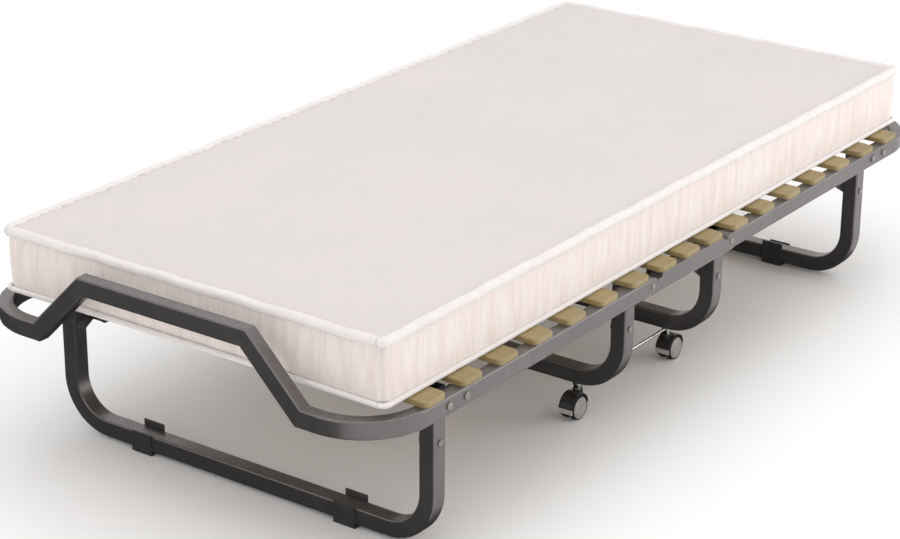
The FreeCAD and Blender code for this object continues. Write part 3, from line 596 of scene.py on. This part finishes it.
def foam_body():
    """Closed foam shape: the outline carried up a profile of panel, border and panel.

    A point of a panel lies on the line from the outline to the long middle line of the bed, and
    the top panel is crowned by a quarter wave of that distance.
    """
    x, y, angle, _ = outline(HALF_X - BORDER_INSET, HALF_Y - BORDER_INSET, CORNER, 640)
    spine = HALF_X - HALF_Y
    low_z, high_z = FOAM_LOW.z, FOAM_HIGH.z
    inward = np.concatenate([np.linspace(1, 0.02, 26), [0.006], np.zeros(9), [0.006], np.linspace(0.02, 1, 26)])
    level = np.concatenate([np.full(26, low_z), [low_z + 0.001], np.linspace(low_z + 0.004, high_z - 0.012, 9),
                            [high_z - 0.007], np.full(26, high_z - 0.006)])
    crown = np.where(np.arange(level.size) > 36, 0.0035 * np.sin(0.5 * math.pi * np.clip(inward * 3, 0, 1)), 0.0)
    middle_x = np.clip(x, -spine, spine)
    grid_x = x + (middle_x - x) * inward[:, None]
    grid_y = y * (1 - inward[:, None])
    grid_z = (level + crown)[:, None] + edge_wander(x, y) * (1 - inward[:, None]) * (level > 0.4)[:, None]
    bulge = 0.0025 * np.sin(math.pi * np.clip((level - low_z) / (high_z - low_z), 0, 1)) * (inward < 0.01)
    grid_x = grid_x + bulge[:, None] * np.cos(angle)
    grid_y = grid_y + bulge[:, None] * np.sin(angle)
    return surface("foam_start", np.stack([grid_x, grid_y, grid_z], axis=-1), TICKING, wrap=True)


def settled(body):
    """The cover blown out gently over the foam between its two sewn edges.

    A remeshed copy swells under cloth pressure for 20 steps; no point moves more than the cap.
    """
    remesh = body.modifiers.new("even", "REMESH")
    remesh.mode = "VOXEL"
    remesh.voxel_size = VOXEL
    graph = bpy.context.evaluated_depsgraph_get()
    even = bpy.data.meshes.new_from_object(body.evaluated_get(graph))
    cover = bpy.data.objects.new("foam_cover", even)
    bpy.context.scene.collection.objects.link(cover)
    bpy.data.objects.remove(body)
    before = points_of(even)
    inset = np.minimum(HALF_X - np.abs(before[:, 0]), HALF_Y - np.abs(before[:, 1]))
    near_edge = inset < BORDER_INSET + 0.012
    sewn = near_edge & ((before[:, 2] > FOAM_HIGH.z - 0.022) | (before[:, 2] < FOAM_LOW.z + 0.012))
    group = cover.vertex_groups.new(name="sewn")
    group.add(np.flatnonzero(sewn).tolist(), 1.0, "REPLACE")
    cloth = cover.modifiers.new("swell", "CLOTH")
    cloth.settings.quality = 4
    cloth.settings.vertex_group_mass = "sewn"
    cloth.settings.use_pressure = True
    cloth.settings.uniform_pressure_force = SWELL_PRESSURE
    cloth.settings.effector_weights.gravity = 0.0
    cloth.point_cache.frame_start = 1
    cloth.point_cache.frame_end = SWELL_STEPS
    scene = bpy.context.scene
    for step in range(1, SWELL_STEPS + 1):
        scene.frame_set(step)
    graph = bpy.context.evaluated_depsgraph_get()
    after_mesh = bpy.data.meshes.new_from_object(cover.evaluated_get(graph))
    moved = points_of(after_mesh) - before
    scene.frame_set(1)
    length = np.linalg.norm(moved, axis=1, keepdims=True)
    cover.modifiers.clear()
    put_points(even, before + moved * SWELL_CAP / (SWELL_CAP + length))
    smooth = cover.modifiers.new("smooth", "SUBSURF")
    smooth.levels = smooth.render_levels = 1
    graph = bpy.context.evaluated_depsgraph_get()
    fine = bpy.data.meshes.new_from_object(cover.evaluated_get(graph))
    cover.modifiers.clear()
    cover.data = fine
    return cover


def dress_cover(cover):
    """Rests the underside on the slats, wrinkles the border, and stores where the border runs.

    Border wrinkles are upright: a sum of waves along the outline, strongest at mid height.
    """
    mesh = cover.data
    p = points_of(mesh)
    p[:, 2] = np.clip(p[:, 2], FOAM_LOW.z + 0.0002, FOAM_HIGH.z + 0.004)
    x, y, _, run = outline(HALF_X - BORDER_INSET, HALF_Y - BORDER_INSET, CORNER, 4000)
    reach_x, reach_y = HALF_X - CORNER, HALF_Y - CORNER
    over_x = p[:, 0] - np.clip(p[:, 0], -reach_x, reach_x)
    over_y = p[:, 1] - np.clip(p[:, 1], -reach_y, reach_y)
    turn = np.mod(np.arctan2(over_y, over_x), 2 * math.pi)
    side_x = np.abs(over_x) > 1e-9
    side_y = np.abs(over_y) > 1e-9
    total = run[-1] + (run[1] - run[0])
    key = np.mod(np.arctan2(y / HALF_Y, x / HALF_X), 2 * math.pi)
    order = np.argsort(key)
    around = np.interp(np.mod(np.arctan2(p[:, 1] / HALF_Y, p[:, 0] / HALF_X), 2 * math.pi),
                       key[order], run[order], period=2 * math.pi)
    inset = np.minimum(HALF_X - np.abs(p[:, 0]), HALF_Y - np.abs(p[:, 1]))
    tall = (p[:, 2] - FOAM_LOW.z) / (FOAM_HIGH.z - FOAM_LOW.z)
    on_border = np.clip((BORDER_INSET + 0.006 - inset) / 0.004, 0, 1) * (side_x | side_y)
    on_border = on_border * np.clip(tall / 0.05, 0, 1) * np.clip((0.93 - tall) / 0.05, 0, 1)
    wave = 2 * math.pi * around / total
    folds = (np.sin(137 * wave + 2.2 * np.sin(19 * wave))
             + 0.7 * np.sin(211 * wave + 1.9 * np.sin(31 * wave) + 1.0) + 0.5 * np.sin(47 * wave + 0.5))
    push = 0.0004 * folds * np.sin(math.pi * np.clip(tall, 0, 1)) * on_border
    p[:, 0] += push * np.cos(turn)
    p[:, 1] += push * np.sin(turn)
    p[:, 2] -= sag(p[:, 1]) * (1 - np.clip(tall, 0, 1))
    put_points(mesh, p)
    for name, values in (("around", around), ("border", on_border)):
        attribute = mesh.attributes.new(name, "FLOAT", "POINT")
        attribute.data.foreach_set("value", values.astype(np.float32))
    mesh.polygons.foreach_set("use_smooth", np.ones(len(mesh.polygons), dtype=bool))


def cut_half(cover, end):
    """The part of the cover on one side of the fold line, closed across the cut.

    A narrow strip of faces runs beside the cut, so that the shading stays even up to it.
    """
    sign = -1.0 if end == "foot" else 1.0
    work = bmesh.new()
    work.from_mesh(cover.data)
    everything = work.verts[:] + work.edges[:] + work.faces[:]
    cut = bmesh.ops.bisect_plane(work, geom=everything, dist=0.0015, plane_co=(0, 0, 0),
                                 plane_no=(-sign, 0, 0), use_snap_center=True, clear_outer=True)
    rim = [e for e in cut["geom_cut"] if isinstance(e, bmesh.types.BMEdge) and e.is_valid]
    closed = bmesh.ops.edgeloop_fill(work, edges=rim)
    for face in closed["faces"]:
        face.smooth = False
    bmesh.ops.recalc_face_normals(work, faces=work.faces[:])
    everything = work.verts[:] + work.edges[:] + work.faces[:]
    bmesh.ops.bisect_plane(work, geom=everything, dist=1e-6, plane_co=(sign * END_STRIP, 0, 0),
                           plane_no=(1, 0, 0))
    mesh = bpy.data.meshes.new(end + "_mattress_half")
    work.to_mesh(mesh)
    work.free()
    mesh.materials.append(TICKING)
    half = bpy.data.objects.new(end + "_mattress_half", mesh)
    bpy.context.scene.collection.objects.link(half)
    return half


def sewn_roll(name, end, radius, centre_z, inset, wander):
    """Round roll along one half of the outline, from fold line to fold line round the end.

    A circle is carried along the outline; its radius swells by a few hundredths with the pull of
    the stitches, and both ends close to a point.
    """
    x, y, angle, _ = outline(HALF_X - inset, HALF_Y - inset, CORNER - inset + 0.002, 2400)
    keep = x > 0
    first = int(np.flatnonzero(keep & ~np.roll(keep, 1))[0])
    picked = (np.arange(first, first + int(keep.sum()))) % x.size
    x, y, angle = x[picked], y[picked], angle[picked]
    x[0] = x[-1] = 0.0
    step = np.concatenate([[0.0], np.cumsum(np.hypot(np.diff(x), np.diff(y)))])
    sign = 1.0 if end == "head" else -1.0
    pull = 1 + 0.035 * np.sin(2 * math.pi * step / 0.031) + 0.025 * np.sin(2 * math.pi * step / 0.0113 + 1.0)
    size = radius * pull
    x, y, angle, size = (np.concatenate([[v[0]] * 2, v, [v[-1]] * 2]) for v in (x, y, angle, size))
    x[2] = x[-3] = END_STRIP
    size[0] = size[-1] = 0.0
    ring = np.arange(18) * 2 * math.pi / 18
    z = centre_z + (edge_wander(sign * x, y) if wander else -sag(y))
    out = np.outer(size, np.cos(ring))
    grid = np.stack([sign * (x[:, None] + out * np.cos(angle)[:, None]),
                     y[:, None] + out * np.sin(angle)[:, None],
                     (z + np.zeros_like(x))[:, None] + np.outer(size, np.sin(ring))], axis=-1)
    if sign > 0:
        grid = grid[::-1]
    roll = surface(name, grid, TAPE, wrap=True)
    lay_run(roll)
    return roll


def lay_run(roll):
    """Gives a roll a UV map of metres along the bed's outline and round the roll."""
    mesh = roll.data
    p = points_of(mesh)
    along = np.where(np.abs(p[:, 1]) > HALF_Y - CORNER, p[:, 0], p[:, 1])
    loops = np.empty(len(mesh.loops), dtype=np.int32)
    mesh.loops.foreach_get("vertex_index", loops)
    layer = mesh.uv_layers.new(name="run")
    layer.data.foreach_set("uv", np.stack([along[loops], p[loops, 2]], axis=1).ravel())


def make_mattress():
    """Both halves of the mattress with their edging, cut at the fold line."""
    body = foam_body()
    cover = settled(body)
    dress_cover(cover)
    for end in ENDS:
        half = cut_half(cover, end)
        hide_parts(end + "_mattress", end + "_mattress_bend")
        top = sewn_roll(end + "_top_edging", end, TOP_ROLL, FOAM_HIGH.z - TOP_ROLL, TOP_ROLL - 0.0015, True)
        low = sewn_roll(end + "_low_piping", end, LOW_ROLL, FOAM_LOW.z + LOW_ROLL, LOW_ROLL - 0.001, False)
        for piece in (half, top, low):
            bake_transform(piece)
    bpy.data.objects.remove(cover)


# ---- casters ------------------------------------------------------------------------------
WHEEL_THICK = 0.0135          # width of one of the twin wheels
PAINTED_REFLECTION_INNER = 0.0268            # radii of the pale strips about the axle that paint the horizon's reflection
PAINTED_REFLECTION_OUTER = 0.0297
PAINTED_REFLECTION_MIDDLE = 0.0282


def turned(name, profile, centre, material, sides=96):
    """Profile of (radius, offset) pairs turned about the line through centre along Y."""
    radius, offset = np.asarray(profile, dtype=float).T
    turn = np.arange(sides) * 2 * math.pi / sides
    grid = np.stack([centre[0] + np.outer(radius, np.cos(turn)),
                     centre[1] + np.repeat(offset[:, None], sides, axis=1),
                     centre[2] + np.outer(radius, np.sin(turn))], axis=-1)
    return surface(name, grid, material, wrap=True)


def outward(obj):
    """Turns every face of a closed piece outwards."""
    work = bmesh.new()
    work.from_mesh(obj.data)
    bmesh.ops.recalc_face_normals(work, faces=work.faces[:])
    work.to_mesh(obj.data)
    work.free()
    return obj


def rounded_profile(points, radius, steps=5):
    """A run of corners with each inner corner rounded: a quadratic curve across the corner."""
    p = np.asarray(points, dtype=float)
    out = [p[0]]
    for before, here, after in zip(p[:-2], p[1:-1], p[2:]):
        back, on = before - here, after - here
        reach = min(radius, 0.45 * np.linalg.norm(back), 0.45 * np.linalg.norm(on))
        start = here + back / np.linalg.norm(back) * reach
        stop = here + on / np.linalg.norm(on) * reach
        t = np.linspace(0, 1, steps)[:, None]
        out.extend((1 - t) ** 2 * start + 2 * t * (1 - t) * here + t ** 2 * stop)
    out.append(p[-1])
    return np.array(out)


def make_wheels(name):
    """Twin wheels of one caster on their axle: dark tyres with a crowned tread, grey discs in them."""
    low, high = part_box("caster_wheels_" + name)
    centre = ((low.x + high.x) / 2, (low.y + high.y) / 2, (low.z + high.z) / 2)
    r, half = (high.z - low.z) / 2, (high.y - low.y) / 2
    inner = half - WHEEL_THICK
    end = half - 0.0032
    axle = [(0.0, -end), (0.0030, -end), (0.0030, end), (0.0, end)]
    tyres, discs = [outward(turned("axle_" + name, axle, centre, TYRE))], []
    for side in (-1.0, 1.0):
        tyre = rounded_profile([(0.0031, inner), (r - 0.003, inner), (r, inner + 0.0022),
                                (r - 0.0002, half - 0.0050), (r - 0.0012, half - 0.0015),
                                (r - 0.0020, half - 0.0006), (r - 0.0026, half - 0.0031),
                                (0.0031, half - 0.0031), (0.0031, inner)], 0.0012)
        disc = rounded_profile([(0.0, half - 0.0030), (r - 0.0028, half - 0.0030),
                                (r - 0.0030, half - 0.0013), (r - 0.0040, half - 0.0006),
                                (r - 0.0064, half - 0.0004), (r - 0.0070, half - 0.0009),
                                (r - 0.0080, half - 0.0009), (r - 0.0086, half - 0.0004), (0.0068, half - 0.0001),
                                (0.0060, half - 0.0012), (0.0046, half - 0.0012), (0.0040, half - 0.0003),
                                (0.0, half - 0.0002)], 0.0008)
        for made, points, label, material in ((tyres, tyre, "tyre", TYRE), (discs, disc, "disc", DISC)):
            points = points * (1.0, side)
            made.append(outward(turned(f"{label}_{name}_{'in' if side < 0 else 'out'}", points, centre, material)))
    tyre = joined("caster_tyres_" + name, tyres)
    disc = joined("caster_discs_" + name, discs)
    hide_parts("caster_wheels_" + name)
    for piece, slot in ((tyre, "black_plastic"), (disc, "wheel_grey")):
        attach(piece, "wheels_" + name)


def make_painted_reflection(name):
    """Painted reflection of the horizon below the hood, before and behind the wheels: pale curved strips about the
    axle.

    Each runs from 16 degrees under the axle's level to 9 over it, with rolled long edges.
    """
    low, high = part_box("caster_wheels_" + name)
    centre = ((low.x + high.x) / 2, (low.y + high.y) / 2, (low.z + high.z) / 2)
    half = (high.y - low.y) / 2 - 0.0022
    angle = np.radians(np.linspace(-16.0, 9.0, 16))
    section = rounded_profile([(PAINTED_REFLECTION_INNER, 0.0), (PAINTED_REFLECTION_INNER, half), (PAINTED_REFLECTION_OUTER, half), (PAINTED_REFLECTION_OUTER, -half),
                               (PAINTED_REFLECTION_INNER, -half), (PAINTED_REFLECTION_INNER, 0.0)], 0.0011, 6)
    lift = np.concatenate([[0.0], np.ones(angle.size - 2), [0.0]])
    angle[0], angle[-1] = angle[1], angle[-2]
    radius = PAINTED_REFLECTION_MIDDLE + (section[:, 0] - PAINTED_REFLECTION_MIDDLE) * lift[:, None]
    across = section[:, 1] * lift[:, None]
    strips = []
    for way, label in ((-1.0, "foot_side"), (1.0, "head_side")):
        grid = np.stack([centre[0] + way * radius * np.cos(angle)[:, None],
                         centre[1] + across, centre[2] + radius * np.sin(angle)[:, None]], axis=-1)
        strips.append(outward(surface(f"painted_reflection_{name}_{label}", grid, PAINTED_REFLECTION)))
    painted_reflections = joined("caster_painted_reflections_" + name, strips)
    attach(painted_reflections, "caster_" + name)


def make_casters():
    """Wheels and painted reflection strips of the four casters."""
    for end in ENDS:
        for side in SIDES:
            make_wheels(end + "_" + side)
            make_painted_reflection(end + "_" + side)


# ---- everything ---------------------------------------------------------------------------
set_camera()
set_studio()
lay_floor()
lay_dark_card()
paint_frame()
make_mattress()
make_casters()
